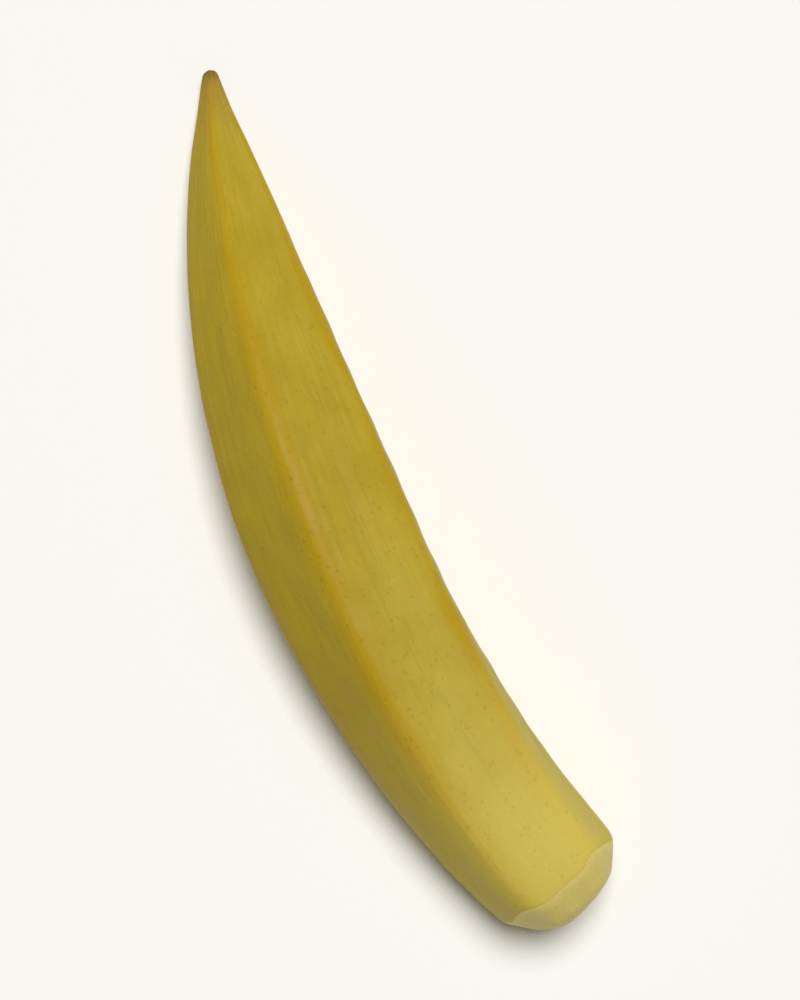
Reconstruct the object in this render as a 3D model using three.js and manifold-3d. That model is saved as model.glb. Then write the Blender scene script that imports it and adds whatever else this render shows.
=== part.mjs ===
// One pickled okra pod lying on its side, in millimetres, +Z up, resting on the plane z = 0.
// It is a single grown piece: a five-ridged capsule that bends gently sideways and tapers to a
// beaked tip. The stem end is pared with a knife into a short cone of flat facets and cut across.
// +X runs from the cut stem end to the tip, and the bend bulges towards +Y.
// The origin is the centre of the pod's bounding box, at the bottom.

import * as THREE from "three";
import { mergeVertices } from "three/addons/utils/BufferGeometryUtils.js";
import Module from "manifold-3d";

// Length and fullness. Distances along the pod are measured on its curved axis from the cut end.
const POD_LENGTH = 75;
const BELLY_AT = 34;
const BELLY_RADIUS = 6.4;
const SHOULDER_RADIUS = 5.35;
const SHOULDER_ROUNDING_LENGTH = 3.2;
const SHOULDER_ROUNDING_DEPTH = 0.5;
const TAPER_POWER = 1.85;
const TAPER_ROUNDNESS = 0.84;
const BEAK_LENGTH = 7;
const BEAK_HOLLOW = 0.3;
const TIP_RADIUS = 0.45;

// Five gently rounded faces meet in ridges. They are not quite evenly turned, as on a grown pod.
// Each ridge carries a low keel, and the ridges grow blunter towards both ends.
const FACE_TURNS = [36, 109.5, 178.5, 253, 325];
const RIDGE_COUNT = FACE_TURNS.length;
const SHOULDER_SHARPNESS = 5.2;
const RIDGE_SHARPNESS = 8.5;
const TIP_SHARPNESS = 6;
const KEEL_HEIGHT = 0.14;
const KEEL_HALF_WIDTH = 7;

// Mean radius of the plain ridged section whose faces are 1 from the axis.
const MEAN_OF_SECTION = 1.062;

// The ridges spiral: the turn of the first one from straight up, at the stem end and at the tip.
const RIDGE_TURN_AT_STEM = 38;
const RIDGE_TURN_AT_TIP = 8;
const SPIRAL_EASES_OVER = 26;

// The bend is strongest near the stem, in degrees per millimetre.
const BEND_AT_STEM = 0.95;
const BEND_AT_TIP = 0.35;
const BEND_EASES_OVER = 22;

// How the pod lies: its underside touches the surface between these two places along it.
const TOUCHES_FROM = 7;
const TOUCHES_TO = 60;
const SAG_FLAT_DEPTH = 0.2;

// The pared stem end: two rounds of knife strokes, the second one blunter, and one cut across,
// which takes away the stub that the pod is drawn with past it. Each stroke is a plane. Its tilt
// is 0 along the axis and 90 across it, and the strokes on the outside of the bend lean less.
// Its radius is how far from the axis it passes where the cut across is.
const STUB_LENGTH = 1;
const PARING_ROUNDS = [
  { strokes: 13, tilt: 40, radius: 2.95 },
  { strokes: 9, tilt: 66, radius: 2 },
];
const STROKE_TILT_LEAN = 8;
const STROKE_TURN_WOBBLE = 4;
const STROKE_TILT_WOBBLE = 3;
const STROKE_DEPTH_WOBBLE = 0.1;
const CROSS_CUT_TILT = 4;

// What makes one stroke's wobble differ from the next one's, in radians.
const WOBBLE_PER_STROKE = 2.4;
const WOBBLE_PER_USE = 1.7;
const WOBBLE_PER_BOTH = 0.9;

// How finely the surface is divided.
const STEPS_PER_FACE = 12;
const STEPS_ROUND = STEPS_PER_FACE * RIDGE_COUNT;
const AXIS_STEP = 0.5;
const BODY_RINGS = 46;
const BEAK_RINGS = 9;
const BEAK_RING_CROWDING = 1.6;

const SKIN_COLOUR = 0xb49a3c;
const SKIN_ROUGHNESS = 0.4;

const { clamp, degToRad, euclideanModulo, lerp, smoothstep } = THREE.MathUtils;

// Mean radius of the capsule at a distance along its axis, before the stem end is pared.
function bodyRadius(along) {
  if (along < BELLY_AT) {
    const swell = Math.sin((Math.PI / 2) * (along / BELLY_AT));
    const rounding = Math.max(0, 1 - along / SHOULDER_ROUNDING_LENGTH) ** 2;
    return lerp(SHOULDER_RADIUS, BELLY_RADIUS, swell) - SHOULDER_ROUNDING_DEPTH * rounding;
  }
  const taper = Math.min(1, (along - BELLY_AT) / (POD_LENGTH - BELLY_AT));
  const fullness = (1 - taper ** TAPER_POWER) ** TAPER_ROUNDNESS;
  const beak = smoothstep(along, POD_LENGTH - BEAK_LENGTH, POD_LENGTH);
  const intoTip = clamp(1 + (along - POD_LENGTH) / TIP_RADIUS, 0, 1);
  const bluntness = Math.sqrt(1 - intoTip ** 2);
  return (BELLY_RADIUS * fullness * (1 - BEAK_HOLLOW * beak) + TIP_RADIUS * beak) * bluntness;
}

// Turn of the first ridge from straight up, towards the outside of the bend.
function spiralTurn(along) {
  return lerp(RIDGE_TURN_AT_TIP, RIDGE_TURN_AT_STEM, Math.exp(-along / SPIRAL_EASES_OVER));
}

// Where a ridge stands: midway between the faces on its two sides, the first one before face 0.
function ridgeAngle(index) {
  const lap = Math.floor(index / RIDGE_COUNT);
  const after = index - lap * RIDGE_COUNT;
  const faceBefore = after === 0 ? FACE_TURNS[RIDGE_COUNT - 1] - 360 : FACE_TURNS[after - 1];
  return (faceBefore + FACE_TURNS[after]) / 2 + 360 * lap;
}

// The angle from one turn to another, the short way round, in degrees.
function turnBetween(from, to) {
  return euclideanModulo(to - from + 180, 360) - 180;
}

// Radius of the ridged section. The turn is measured from the first ridge.
function sectionRadius(along, turn) {
  const fromStem = lerp(SHOULDER_SHARPNESS, RIDGE_SHARPNESS, smoothstep(along, 0, BELLY_AT));
  const sharpness = lerp(fromStem, TIP_SHARPNESS, smoothstep(along, BELLY_AT, POD_LENGTH));
  let faces = 0;
  for (const face of FACE_TURNS) {
    faces += Math.max(0, Math.cos(degToRad(turn - face))) ** sharpness;
  }
  let keels = 0;
  for (let ridge = 0; ridge < RIDGE_COUNT; ridge++) {
    keels += Math.exp(-((turnBetween(ridgeAngle(ridge), turn) / KEEL_HALF_WIDTH) ** 2));
  }
  const size = bodyRadius(along);
  const plain = size / (MEAN_OF_SECTION * faces ** (1 / sharpness));
  return plain + KEEL_HEIGHT * keels * (size / BELLY_RADIUS);
}

// The turns of the points of one ring, so that every ridge has a point of its own.
const RING_TURNS = Array.from({ length: STEPS_ROUND }, (_, i) => {
  const ridge = Math.floor(i / STEPS_PER_FACE);
  const share = (i % STEPS_PER_FACE) / STEPS_PER_FACE;
  return lerp(ridgeAngle(ridge), ridgeAngle(ridge + 1), share);
});

// Heading of the axis seen from above, in radians. It turns towards -Y along the pod.
function heading(along) {
  const eased = BEND_EASES_OVER * (1 - Math.exp(-along / BEND_EASES_OVER));
  return -degToRad(BEND_AT_TIP * along + (BEND_AT_STEM - BEND_AT_TIP) * eased);
}

// How far the lowest point of a section is under the axis.
function depthUnderAxis(along) {
  const first = spiralTurn(along);
  const depths = RING_TURNS.map(
    (turn) => -Math.cos(degToRad(first + turn)) * sectionRadius(along, turn),
  );
  return Math.max(...depths);
}

// Height of the axis: the underside lies on the surface in the middle, and lifts at both ends.
function axisHeight(along) {
  const touching = clamp(along, TOUCHES_FROM, TOUCHES_TO);
  const fall = depthUnderAxis(touching + AXIS_STEP) - depthUnderAxis(touching - AXIS_STEP);
  const slope = fall / (2 * AXIS_STEP);
  return depthUnderAxis(touching) - SAG_FLAT_DEPTH + slope * (along - touching);
}

// The axis as a chain of short steps from the cut end to the tip.
function axisChain() {
  const chain = [];
  const place = new THREE.Vector2();
  for (let along = 0; along <= POD_LENGTH; along += AXIS_STEP) {
    chain.push(new THREE.Vector3(place.x, place.y, axisHeight(along)));
    const onwards = heading(along + AXIS_STEP / 2);
    place.x += AXIS_STEP * Math.cos(onwards);
    place.y += AXIS_STEP * Math.sin(onwards);
  }
  return chain;
}

const AXIS = axisChain();

// The place on the axis, its direction, and the two directions across it: up, and outwards.
function axisFrame(along) {
  const lastStep = AXIS.length - 2;
  const step = clamp(Math.floor(along / AXIS_STEP), 0, lastStep);
  const place = AXIS[step].clone().lerp(AXIS[step + 1], along / AXIS_STEP - step);
  const outwards = new THREE.Vector3(-Math.sin(heading(along)), Math.cos(heading(along)), 0);
  const before = AXIS[Math.max(0, step - 1)];
  const after = AXIS[Math.min(lastStep + 1, step + 2)];
  const rise = (after.z - before.z) / Math.hypot(after.x - before.x, after.y - before.y);
  const forwards = new THREE.Vector3(outwards.y, -outwards.x, rise).normalize();
  const up = forwards.clone().cross(outwards);
  return { place, forwards, outwards, up };
}

// A point on a section, by its turn from straight up towards the outside of the bend.
function pointAround(frame, turn, radius) {
  return frame.place
    .clone()
    .addScaledVector(frame.up, radius * Math.cos(degToRad(turn)))
    .addScaledVector(frame.outwards, radius * Math.sin(degToRad(turn)));
}

// Distances of the rings: even along the stub and body, and closer together towards the tip.
function ringPlaces() {
  const bodyEnd = POD_LENGTH - BEAK_LENGTH;
  const places = Array.from({ length: BODY_RINGS }, (_, i) => lerp(-STUB_LENGTH, bodyEnd, i / BODY_RINGS));
  for (let i = 0; i < BEAK_RINGS; i++) {
    places.push(POD_LENGTH - BEAK_LENGTH * (1 - i / BEAK_RINGS) ** BEAK_RING_CROWDING);
  }
  return places;
}

// The whole capsule with its stub, as one closed skin.
function capsuleGeometry() {
  const positions = [];
  const faces = [];
  const rings = ringPlaces();
  for (const along of rings) {
    const frame = axisFrame(along);
    for (const turn of RING_TURNS) {
      const point = pointAround(frame, spiralTurn(along) + turn, sectionRadius(along, turn));
      positions.push(point.x, point.y, point.z);
    }
  }
  for (let ring = 0; ring + 1 < rings.length; ring++) {
    for (let i = 0; i < STEPS_ROUND; i++) {
      const a = ring * STEPS_ROUND + i;
      const b = ring * STEPS_ROUND + ((i + 1) % STEPS_ROUND);
      faces.push(a, a + STEPS_ROUND, b, b, a + STEPS_ROUND, b + STEPS_ROUND);
    }
  }
  const stemCentre = rings.length * STEPS_ROUND;
  const tip = stemCentre + 1;
  for (const end of [-STUB_LENGTH, POD_LENGTH]) {
    positions.push(...axisFrame(end).place.toArray());
  }
  const lastRing = (rings.length - 1) * STEPS_ROUND;
  for (let i = 0; i < STEPS_ROUND; i++) {
    const next = (i + 1) % STEPS_ROUND;
    faces.push(stemCentre, i, next);
    faces.push(tip, lastRing + next, lastRing + i);
  }
  const geometry = new THREE.BufferGeometry();
  geometry.setAttribute("position", new THREE.Float32BufferAttribute(positions, 3));
  geometry.setIndex(faces);
  return geometry;
}

const wasm = await Module();
wasm.setup();

function solidOf(geometry) {
  const bare = geometry.clone();
  bare.deleteAttribute("normal");
  bare.deleteAttribute("uv");
  const merged = mergeVertices(bare);
  return new wasm.Manifold(
    new wasm.Mesh({
      numProp: 3,
      vertProperties: merged.attributes.position.array,
      triVerts: new Uint32Array(merged.index.array),
    }),
  );
}

function geometryOf(solid) {
  const mesh = solid.getMesh();
  const geometry = new THREE.BufferGeometry();
  geometry.setAttribute("position", new THREE.Float32BufferAttribute(mesh.vertProperties, 3));
  geometry.setIndex(new THREE.Uint32BufferAttribute(mesh.triVerts, 1));
  return geometry;
}

// Takes away everything on the outer side of a plane, as one stroke of a knife does.
function cutAway(solid, point, normal) {
  const size = 4 * POD_LENGTH;
  const zUp = new THREE.Vector3(0, 0, 1);
  const block = new THREE.BoxGeometry(size, size, size);
  block.translate(0, 0, size / 2);
  block.applyQuaternion(new THREE.Quaternion().setFromUnitVectors(zUp, normal));
  block.translate(point.x, point.y, point.z);
  return solid.subtract(solidOf(block));
}

// A repeatable unevenness from -1 to 1, different for each stroke and each of its uses.
function wobble(stroke, use) {
  return Math.sin(WOBBLE_PER_STROKE * stroke + WOBBLE_PER_USE * use + WOBBLE_PER_BOTH * stroke * use);
}

// The planes of the knife round the stem end, leaning in towards the cut across.
function pareStem(solid) {
  const frame = axisFrame(0);
  let pared = solid;
  for (const { strokes, tilt, radius } of PARING_ROUNDS) {
    for (let stroke = 0; stroke < strokes; stroke++) {
      const turn = (360 / strokes) * stroke + STROKE_TURN_WOBBLE * wobble(stroke, 1);
      const lean = STROKE_TILT_LEAN * Math.sin(degToRad(turn));
      const slope = degToRad(tilt - lean + STROKE_TILT_WOBBLE * wobble(stroke, 2));
      const point = pointAround(frame, turn, radius + STROKE_DEPTH_WOBBLE * wobble(stroke, 3));
      const normal = point.clone().sub(frame.place).normalize();
      normal.multiplyScalar(Math.cos(slope)).addScaledVector(frame.forwards, -Math.sin(slope));
      pared = cutAway(pared, point, normal);
    }
  }
  const across = frame.forwards.clone().negate();
  across.applyAxisAngle(frame.outwards, degToRad(CROSS_CUT_TILT));
  return cutAway(pared, frame.place, across);
}

// The long narrow flat where the soft pod sags on the surface it lies on.
function flattenUnderside(solid) {
  return cutAway(solid, new THREE.Vector3(0, 0, 0), new THREE.Vector3(0, 0, -1));
}

// Turns the pod so that the line from cut end to tip runs along +X, and centres its box.
function squareUp(geometry) {
  const tip = AXIS[AXIS.length - 1];
  geometry.rotateZ(-Math.atan2(tip.y, tip.x));
  geometry.computeBoundingBox();
  const box = geometry.boundingBox;
  geometry.translate(-(box.min.x + box.max.x) / 2, -(box.min.y + box.max.y) / 2, -box.min.z);
  return geometry;
}

function okraPod() {
  const capsule = solidOf(capsuleGeometry());
  const geometry = squareUp(geometryOf(flattenUnderside(pareStem(capsule))));
  geometry.computeVertexNormals();
  const material = new THREE.MeshStandardMaterial({
    color: SKIN_COLOUR,
    roughness: SKIN_ROUGHNESS,
    metalness: 0,
  });
  const mesh = new THREE.Mesh(geometry, material);
  mesh.name = "okra_pod";
  return mesh;
}

const pod = new THREE.Group();
pod.add(okraPod());

export default pod;
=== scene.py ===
"""A pickled okra pod lying on a pale floor, with its stem end pared by a knife and cut across.

The pod's form repeats the CAD part's formulas on a finer mesh, and adds what skin and cut flesh
have: seed swellings, suture lines, knife grain and a ringed core. Everything is in metres, and
turns are in degrees, measured round the pod from its first ridge.
"""

import math

import bpy
import numpy as np
from bpy.props import FloatProperty, FloatVectorProperty, PointerProperty
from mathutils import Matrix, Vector, noise


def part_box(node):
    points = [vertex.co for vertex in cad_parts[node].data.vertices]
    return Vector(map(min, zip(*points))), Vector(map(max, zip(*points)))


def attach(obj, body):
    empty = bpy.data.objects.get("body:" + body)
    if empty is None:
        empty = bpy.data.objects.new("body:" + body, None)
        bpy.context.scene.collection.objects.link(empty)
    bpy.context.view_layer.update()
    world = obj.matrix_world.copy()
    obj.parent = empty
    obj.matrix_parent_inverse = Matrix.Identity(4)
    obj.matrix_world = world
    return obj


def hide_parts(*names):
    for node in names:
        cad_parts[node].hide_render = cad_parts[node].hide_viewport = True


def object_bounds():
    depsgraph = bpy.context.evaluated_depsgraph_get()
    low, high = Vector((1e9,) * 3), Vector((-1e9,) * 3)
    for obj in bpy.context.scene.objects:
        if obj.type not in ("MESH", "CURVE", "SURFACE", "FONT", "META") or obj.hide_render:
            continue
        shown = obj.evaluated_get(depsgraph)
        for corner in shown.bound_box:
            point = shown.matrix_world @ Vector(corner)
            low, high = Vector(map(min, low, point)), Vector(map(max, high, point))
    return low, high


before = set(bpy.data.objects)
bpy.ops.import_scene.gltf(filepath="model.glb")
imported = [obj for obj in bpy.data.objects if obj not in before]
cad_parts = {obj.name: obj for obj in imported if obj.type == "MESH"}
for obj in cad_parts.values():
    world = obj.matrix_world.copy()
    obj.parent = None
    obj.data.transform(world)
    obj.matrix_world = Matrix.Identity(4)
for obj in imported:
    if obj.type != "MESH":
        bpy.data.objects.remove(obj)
CAD_LOW, CAD_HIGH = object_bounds()

bl_info = {
    "name": "Okra pod",
    "version": (1, 0, 0),
    "blender": (4, 5, 0),
    "location": "3D View > Sidebar > Okra",
    "description": "A pickled okra pod with a pared stem end, on a pale floor",
    "category": "Add Mesh",
}

MM = 0.001

# The pod's form, as in the CAD part. Distances are measured on the bent axis from the cut end.
POD_LENGTH = 75 * MM
BELLY_AT = 34 * MM
BELLY_RADIUS = 6.4 * MM
SHOULDER_RADIUS = 5.35 * MM
SHOULDER_ROUNDING_LENGTH = 3.2 * MM
SHOULDER_ROUNDING_DEPTH = 0.5 * MM
TAPER_POWER = 1.85
TAPER_ROUNDNESS = 0.84
BEAK_LENGTH = 7 * MM
BEAK_HOLLOW = 0.3
TIP_RADIUS = 0.45 * MM

FACE_TURNS = (36, 109.5, 178.5, 253, 325)
RIDGE_COUNT = len(FACE_TURNS)
SHOULDER_SHARPNESS = 5.2
RIDGE_SHARPNESS = 8.5
TIP_SHARPNESS = 6
KEEL_HEIGHT = 0.14 * MM
KEEL_HALF_WIDTH = 7
MEAN_OF_SECTION = 1.062

RIDGE_TURN_AT_STEM = 38
RIDGE_TURN_AT_TIP = 8
SPIRAL_EASES_OVER = 26 * MM

BEND_AT_STEM = 0.95 / MM
BEND_AT_TIP = 0.35 / MM
BEND_EASES_OVER = 22 * MM

TOUCHES_FROM = 7 * MM
TOUCHES_TO = 60 * MM
SAG_FLAT_DEPTH = 0.2 * MM
REST_STEPS_PER_FACE = 12
SLOPE_STEP = 0.5 * MM

STUB_LENGTH = 1 * MM
PARING_ROUNDS = (
    {"strokes": 13, "tilt": 40, "radius": 2.95 * MM},
    {"strokes": 9, "tilt": 66, "radius": 2 * MM},
)
STROKE_TILT_LEAN = 8
STROKE_TURN_WOBBLE = 4
STROKE_TILT_WOBBLE = 3
STROKE_DEPTH_WOBBLE = 0.1 * MM
CROSS_CUT_TILT = 4
WOBBLE_PER_STROKE = 2.4
WOBBLE_PER_USE = 1.7
WOBBLE_PER_BOTH = 0.9
FOR_TURN, FOR_TILT, FOR_DEPTH = 1, 2, 3

# How finely the skin is divided.
AXIS_STEP = 0.1 * MM
STEPS_PER_FACE = 40
STEPS_ROUND = STEPS_PER_FACE * RIDGE_COUNT
CORE_ROWS = 22
CONE_ROWS = 40
BODY_ROWS = 325
BODY_CROWDING = 0.4
TIP_GAP = 0.02 * MM
RIM_ROUNDS = 12
EDGE_HALVINGS = 40

# How far pickling has rounded the edges that the knife left.
SOFTENING_PASSES = 34
SOFTENED_CORE_ROWS = 5
SOFTENED_SKIN_ROWS = 12

# Where things on the skin stand, as distances from the cut end and turns from a ridge.
SEEDS_FROM = 9 * MM
SEEDS_TO = 62 * MM
SEED_RAMP = 6 * MM
SEED_TURN = 15
SEED_HALF_WIDTH = 9
SEED_NARROWNESS = 1.5
SEED_SHIFT_PER_RIDGE = 0.37
SEED_SHIFT_PER_SIDE = 0.25
SUTURE_HALF_WIDTH = 3.2
RIDGE_HALF_WIDTH = 11
# The side painted paler as painted light: the face turned up towards the camera and the key light.
SUNNED_TURN = 318
SUNNED_HALF_WIDTH = 42

# The skin's waves and veins, and how far from the knife's edge its relief reaches full height.
RELIEF_FADE = 2.5 * MM
WAVE_STRETCH = 0.5
BIG_PATCHES_PER_WAVE = 2
SMALL_PATCHES_PER_WAVE = 5
SMALL_WAVE_SHARE = 0.5
VEIN_SPACING = 0.7 * MM
VEIN_STRETCH = 0.06

# The ringed core that the cut across shows, as shares of the cut's radius.
PITH_SHARE = 0.46
RING_SHARE = 0.66
RING_HALF_WIDTH = 0.1
RING_END = RING_SHARE + RING_HALF_WIDTH
RIND_START = RING_END + 2 * RING_HALF_WIDTH
RING_WANDER = 0.24

# The relief of the cuts: heights as shares of the pith's depth, and the grain's sizes.
RING_RISE = 0.35
PITH_ROUGHNESS = 0.2
PITH_GRAIN = 0.35 * MM
PITH_GRAIN_POWER = 6
FLESH_GRAIN = 0.28 * MM
FLESH_STRETCH = 0.12

# The mesh's materials, in the order of its slots.
SKIN, FLESH, CORE = range(3)

# How marks fade by distance: two distances, and how strongly the mark shows at each. They are
# measured from the knife's edge, and for the beak and the tip from the pod's far end.
SHOULDER_FADE = (22 * MM, 0.5 * MM, 0, 0.8)
# Painted light on the upward side: strong near the stem end, weaker towards the tip.
SUNNED_FADE = (14 * MM, 34 * MM, 1, 0.4)
CUT_EDGE_FADE = (0.35 * MM, 0, 0, 0.15)
RIM_FADE = (-0.9 * MM, -0.1 * MM, 0, 0.35)
BEAK_FADE = (-8 * MM, 1 * MM, 0, 0.7)
TIP_FADE = (-1.6 * MM, 0, 0, 0.9)

# How marks fade by the noise or the stored mark that they come from, given in the same way.
STREAK_FADE = (0.45, 0.7, 0, 0.4)
VEIN_FADE = (0.5, 0.68, 0, 0.3)
# Painted light on the upward side: how it breaks up with the patches, and how much it adds to the
# pale shoulder.
SUNNED_PATCH_FADE = (0.9, 0.1, 0.25, 0.65)
SUNNED_SHOULDER_FADE = (0, 0.8, 0.5, 1)
GOLD_FADE = (0.25, 1.15, 0, 0.8)
WET_FADE = (0.2, 0.8, 0, 1)
FLESH_STREAK_FADE = (0.42, 0.68, 0, 0.25)
FIBRE_END_FADE = (2 * RING_HALF_WIDTH, 0, 0, 0.5)
SPOT_FADE = (1, 0.35, 0, 1)

# How strongly the other marks show.
FRECKLE_STRENGTH = 0.18
FLESH_CLOUD_STRENGTH = 0.3
FLESH_SPOT_STRENGTH = 0.35
CORE_GRAIN_STRENGTH = 0.35

# How far marks wander from an even pattern.
GOLD_WANDER = 1.8
DRIED_RAGGEDNESS = 4 * MM
SPOT_WANDER = 0.5
SPOT_WANDER_SCALE = 2.5

# Shares of each mark in the finest relief.
STREAK_RELIEF = 0.6
FINE_RELIEF = 0.4
VEIN_RELIEF = -0.4
HAIR_RELIEF = 0.6
FIBRE_END_RELIEF = 0.5

# How the surfaces take light.
SKIN_GLOSS_CHANGE = 0.16
FLESH_ROUGHNESS = 0.48
FLESH_GLOSS_CHANGE = 0.2
CORE_ROUGHNESS = 0.55
WATER_IOR = 1.33
LIGHT_SPREAD = (1, 0.62, 0.14)

# The stage. The key light's direction leans from straight behind the camera by these shares.
# The film is measured in millimetres, as the lens is.
FLOOR_HALF_WIDTH = 4
FLOOR_ROUGHNESS = 0.7
KEY_TO_RIGHT = 0.08
KEY_TO_TOP = 0.4
KEY_COLOUR = (1, 0.99, 0.96)
PICTURE_ASPECT = 800 / 1000
FILM_HALF_HEIGHT = 18
FRAMING_ROUNDS = 8
CLIP_RATIO = 100

# Where a Mix node keeps its two colours and their mixture.
MIX_COLOURS = (6, 7)
MIXTURE = 2

# How a material's nodes are laid out in its editor.
NODES_ACROSS = 8
NODE_WIDTH = 220
NODE_HEIGHT = 260

# What settings of one kind share.
COLOUR = {"min": 0, "max": 1, "subtype": "COLOR"}
SHARE = {"min": 0, "max": 1, "subtype": "FACTOR"}
ANGLE = {"min": 0, "subtype": "ANGLE", "unit": "ROTATION"}
HEIGHT = {"min": 0, "unit": "LENGTH"}


class OkraRelief(bpy.types.PropertyGroup):
    """How uneven the pod's skin and its pared end are."""

    seed_pitch: FloatProperty(
        name="Seed pitch",
        description="Distance between neighbouring seeds in one row under the skin",
        default=4.3 * MM,
        min=2 * MM,
        max=8 * MM,
        unit="LENGTH",
    )
    seed_swell: FloatProperty(
        name="Seed swell",
        description="How far the skin stands out over a seed",
        default=0.06 * MM,
        max=0.3 * MM,
        **HEIGHT,
    )
    suture_depth: FloatProperty(
        name="Suture depth",
        description="Depth of the faint line along the middle of each face",
        default=0.035 * MM,
        max=0.3 * MM,
        **HEIGHT,
    )
    unevenness: FloatProperty(
        name="Unevenness",
        description="Height of the slow waves that keep a grown surface from being regular",
        default=0.09 * MM,
        max=0.3 * MM,
        **HEIGHT,
    )
    wave_length: FloatProperty(
        name="Wave length",
        description="Length of the slow waves along the pod",
        default=9 * MM,
        min=2 * MM,
        max=40 * MM,
        unit="LENGTH",
    )
    vein_height: FloatProperty(
        name="Vein height",
        description="Height of the fine veins that run along the pod",
        default=0.018 * MM,
        max=0.1 * MM,
        **HEIGHT,
    )
    knife_grain: FloatProperty(
        name="Knife grain",
        description="Height of the fibres that stand up on the pared flesh",
        default=0.03 * MM,
        max=0.2 * MM,
        **HEIGHT,
    )
    pith_depth: FloatProperty(
        name="Pith depth",
        description="How far the soft core has sunk below the cut across",
        default=0.16 * MM,
        max=0.5 * MM,
        **HEIGHT,
    )


class OkraSkin(bpy.types.PropertyGroup):
    """Colours and gloss of the pickled skin."""

    face_colour: FloatVectorProperty(
        name="Face",
        description="Colour of the flat faces",
        default=(0.495, 0.368, 0.026),
        **COLOUR,
    )
    deep_colour: FloatVectorProperty(
        name="Deep",
        description="Colour of the darker, greener patches",
        default=(0.39, 0.28, 0.013),
        **COLOUR,
    )
    # Painted light: a paler colour laid on the upward side, where the light falls.
    sunned_colour: FloatVectorProperty(
        name="Painted light on top",
        description="Paler colour painted on the side that faces the light, as painted light",
        default=(0.56, 0.46, 0.1),
        **COLOUR,
    )
    ridge_colour: FloatVectorProperty(
        name="Ridge",
        description="Colour along the crests of the ridges",
        default=(0.44, 0.285, 0.008),
        **COLOUR,
    )
    shoulder_colour: FloatVectorProperty(
        name="Shoulder",
        description="Paler colour of the skin beside the pared end",
        default=(0.65, 0.53, 0.12),
        **COLOUR,
    )
    vein_colour: FloatVectorProperty(
        name="Veins",
        description="Colour of the fine lines that run along the pod",
        default=(0.33, 0.23, 0.02),
        **COLOUR,
    )
    freckle_colour: FloatVectorProperty(
        name="Freckles",
        description="Colour of the small spots",
        default=(0.2, 0.12, 0.03),
        **COLOUR,
    )
    beak_colour: FloatVectorProperty(
        name="Beak",
        description="Colour of the dry tip",
        default=(0.17, 0.1, 0.03),
        **COLOUR,
    )
    roughness: FloatProperty(
        name="Roughness",
        description="Roughness of the skin under its wet film",
        default=0.5,
        **SHARE,
    )
    wetness: FloatProperty(
        name="Wetness",
        description="Greatest weight of the thin wet film on the pod",
        default=0.2,
        **SHARE,
    )


class OkraFlesh(bpy.types.PropertyGroup):
    """Colours of the pared flesh and of the cut core."""

    flesh_colour: FloatVectorProperty(
        name="Flesh",
        description="Colour of the pared flesh",
        default=(0.7, 0.585, 0.18),
        **COLOUR,
    )
    fibre_colour: FloatVectorProperty(
        name="Fibres",
        description="Colour of the darker fibres in the pared flesh",
        default=(0.5, 0.42, 0.11),
        **COLOUR,
    )
    rim_colour: FloatVectorProperty(
        name="Rim",
        description="Paler colour of the flesh just under the skin, where the paring begins",
        default=(0.74, 0.63, 0.23),
        **COLOUR,
    )
    browned_colour: FloatVectorProperty(
        name="Browned edge",
        description="Colour that cut edges and dry ends turn in the air",
        default=(0.36, 0.22, 0.05),
        **COLOUR,
    )
    ring_colour: FloatVectorProperty(
        name="Ring",
        description="Colour of the woody ring in the core",
        default=(0.74, 0.62, 0.25),
        **COLOUR,
    )
    pith_colour: FloatVectorProperty(
        name="Pith",
        description="Colour of the sunken pith",
        default=(0.48, 0.35, 0.1),
        **COLOUR,
    )


class OkraStage(bpy.types.PropertyGroup):
    """The floor, the light and the camera."""

    floor_colour: FloatVectorProperty(
        name="Floor",
        description="Colour of the floor",
        default=(0.89, 0.89, 0.88),
        **COLOUR,
    )
    backdrop_colour: FloatVectorProperty(
        name="Backdrop",
        description="Colour that shows past the floor's far edge",
        default=(0.9, 0.9, 0.86),
        **COLOUR,
    )
    sky_colour: FloatVectorProperty(
        name="Sky",
        description="Colour of the even light from all round",
        default=(1, 0.96, 0.85),
        **COLOUR,
    )
    sky_strength: FloatProperty(
        name="Sky strength",
        description="Strength of the even light from all round",
        default=0.14,
        min=0,
        max=5,
    )
    key_strength: FloatProperty(
        name="Key strength",
        description="Strength of the soft light from above, in watts per square metre",
        default=2.98,
        min=0,
        max=20,
    )
    key_softness: FloatProperty(
        name="Key softness",
        description="How wide the soft light looks from the pod",
        default=math.radians(28),
        max=math.radians(90),
        **ANGLE,
    )
    camera_turn: FloatProperty(
        name="Camera turn",
        description="Direction that the camera looks from, round the pod",
        default=math.radians(246),
        **ANGLE,
    )
    camera_height: FloatProperty(
        name="Camera height",
        description="Angle of the camera above the floor",
        default=math.radians(85),
        max=math.radians(90),
        **ANGLE,
    )
    lens: FloatProperty(
        name="Lens",
        description="Focal length of the camera in millimetres",
        default=85,
        min=20,
        max=200,
    )
    margin: FloatProperty(
        name="Margin",
        description="Share of the picture left free at each side of the pod",
        default=0.07,
        min=0,
        max=0.4,
        subtype="FACTOR",
    )


def smoothstep(values, start, end):
    """Rises from 0 at start to 1 at end, with no kink."""
    share = np.clip((values - start) / (end - start), 0, 1)
    return share * share * (3 - 2 * share)


def mix(first, second, share):
    """The value between two others at a share of the way."""
    return first + (second - first) * share


def turn_between(start, end):
    """The angle from one turn to another, the short way round, in degrees."""
    return (end - start + 180) % 360 - 180


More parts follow.
